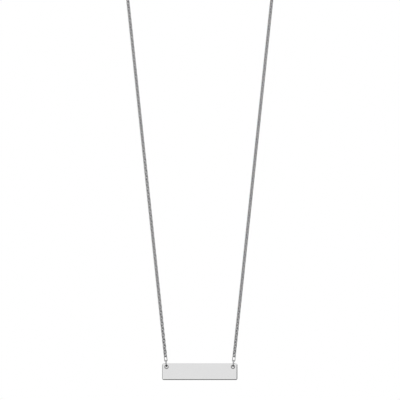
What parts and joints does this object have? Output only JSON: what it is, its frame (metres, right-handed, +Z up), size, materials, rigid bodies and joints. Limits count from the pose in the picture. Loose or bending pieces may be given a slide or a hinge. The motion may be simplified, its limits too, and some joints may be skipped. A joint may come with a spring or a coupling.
{
  "type": "bar pendant necklace",
  "caption": "Plain polished rectangular bar hung by jump rings at its upper corners from a fine link chain that closes with a ring clasp.",
  "frame": {"origin": "underside of the clasp at the top of the loop, where the necklace rests on a neck", "axes": "+Z up, -Y the way the bar faces, +X to the right as seen from the front"},
  "size_m": [0.0594, 0.0054, 0.2053],
  "materials": {
    "bar_polish": "mirror-polished rhodium-finished silver",
    "ring_polish": "silver wire rings with a dull polish",
    "link_polish": "silver wire links with a dull polish",
    "clasp_polish": "polished silver"
  },
  "bodies": {
    "necklace": {"jump_ring_left": "ring_polish", "jump_ring_right": "ring_polish", "end_link_left": "link_polish", "end_link_right": "link_polish", "chain_left": "link_polish", "chain_right": "link_polish", "clasp": "clasp_polish", "clasp_ring_left": "ring_polish", "clasp_ring_right": "ring_polish"},
    "bar": {"bar": "bar_polish"}
  },
  "joints": [
    {"name": "bar_swing", "type": "hinge", "parent": "necklace", "child": "bar", "pos_m": [0, 0, -0.19817], "axis": [1, 0, 0], "range_deg": [-90, 90]}
  ]
}
